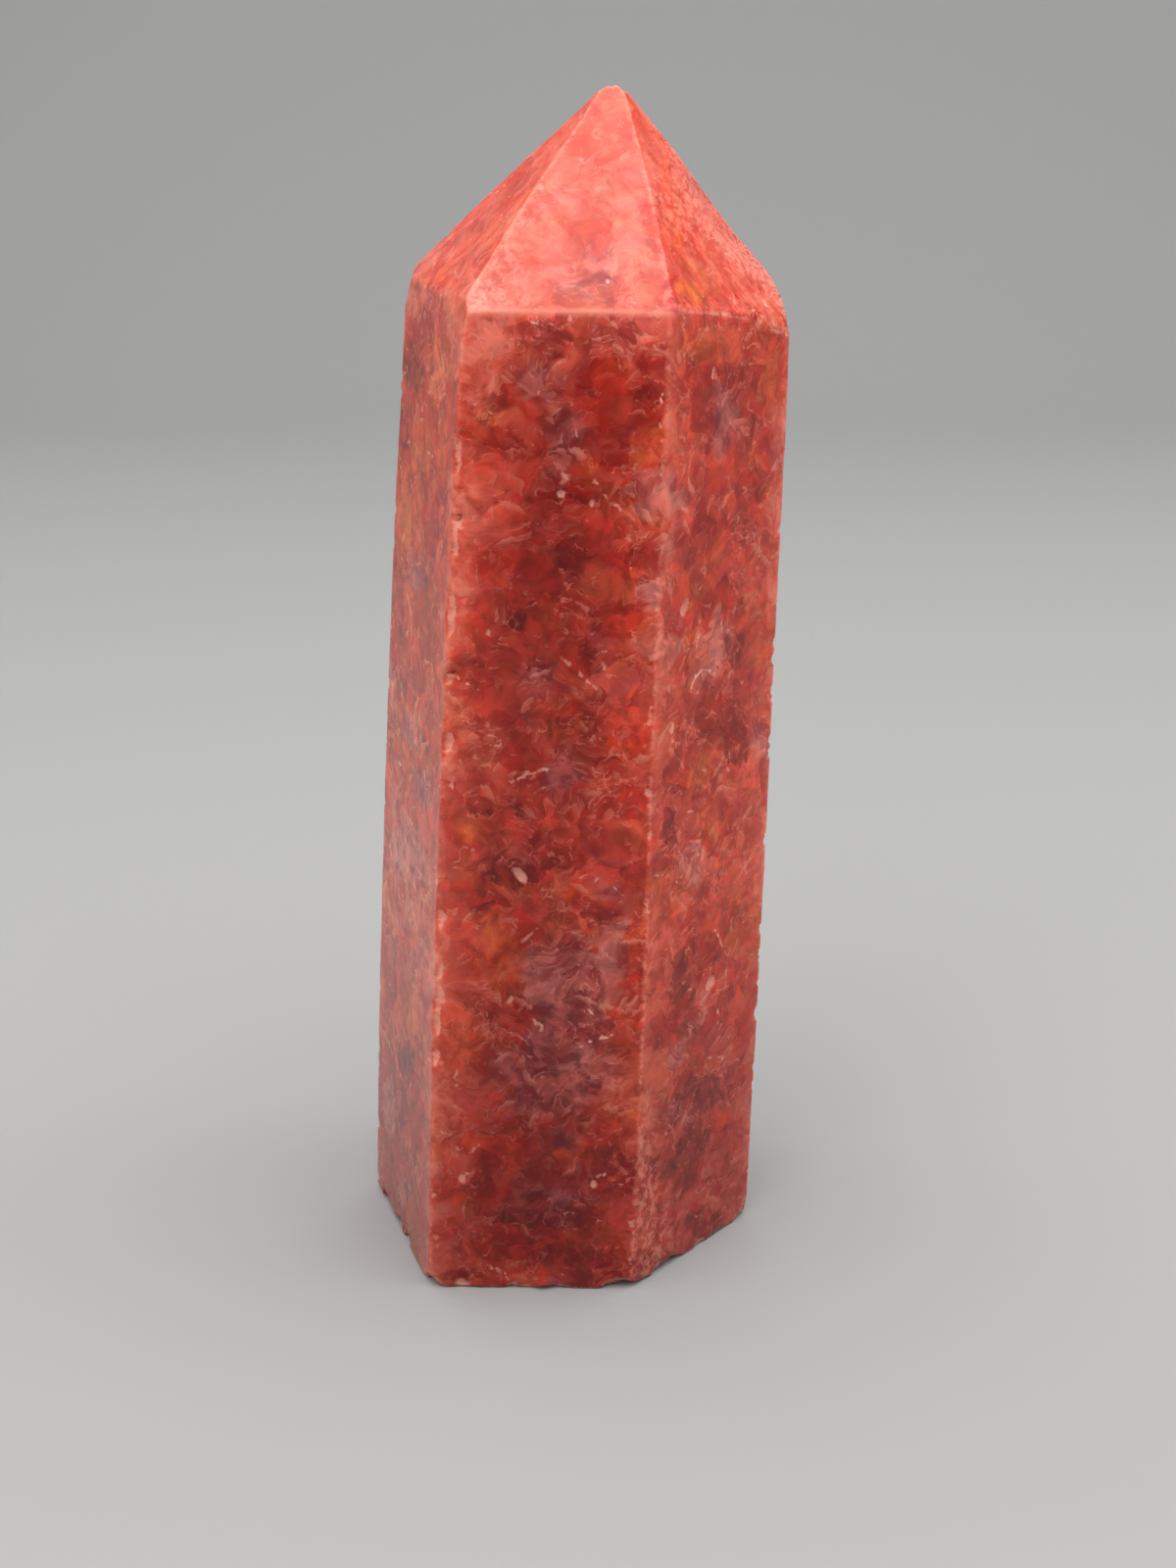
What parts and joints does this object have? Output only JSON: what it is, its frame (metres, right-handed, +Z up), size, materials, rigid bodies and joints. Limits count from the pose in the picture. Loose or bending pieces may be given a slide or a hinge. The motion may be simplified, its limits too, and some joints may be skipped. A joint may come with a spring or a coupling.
{
  "type": "sunstone point",
  "caption": "Standing six-sided point of red translucent stone, ground flat on its foot and cut to a blunt faceted tip; an ornament or paperweight that stands upright by itself.",
  "frame": {"origin": "on the flat foot, under the middle of the stone's bounding box", "axes": "+Z up the tower to its tip, -Y out of the broad front face, +X to the right of that face; the tip leans about 2 degrees to +X"},
  "size_m": [0.0362, 0.032, 0.0999],
  "materials": {
    "sunstone": "polished translucent coral-red stone, a mosaic of interlocking grains with clear deep red windows, pink haze and thin pale healed cracks; small crushed nicks along the arrises and the rim of the foot"
  },
  "bodies": {
    "root": {"sunstone_point": "sunstone"}
  },
  "joints": []
}
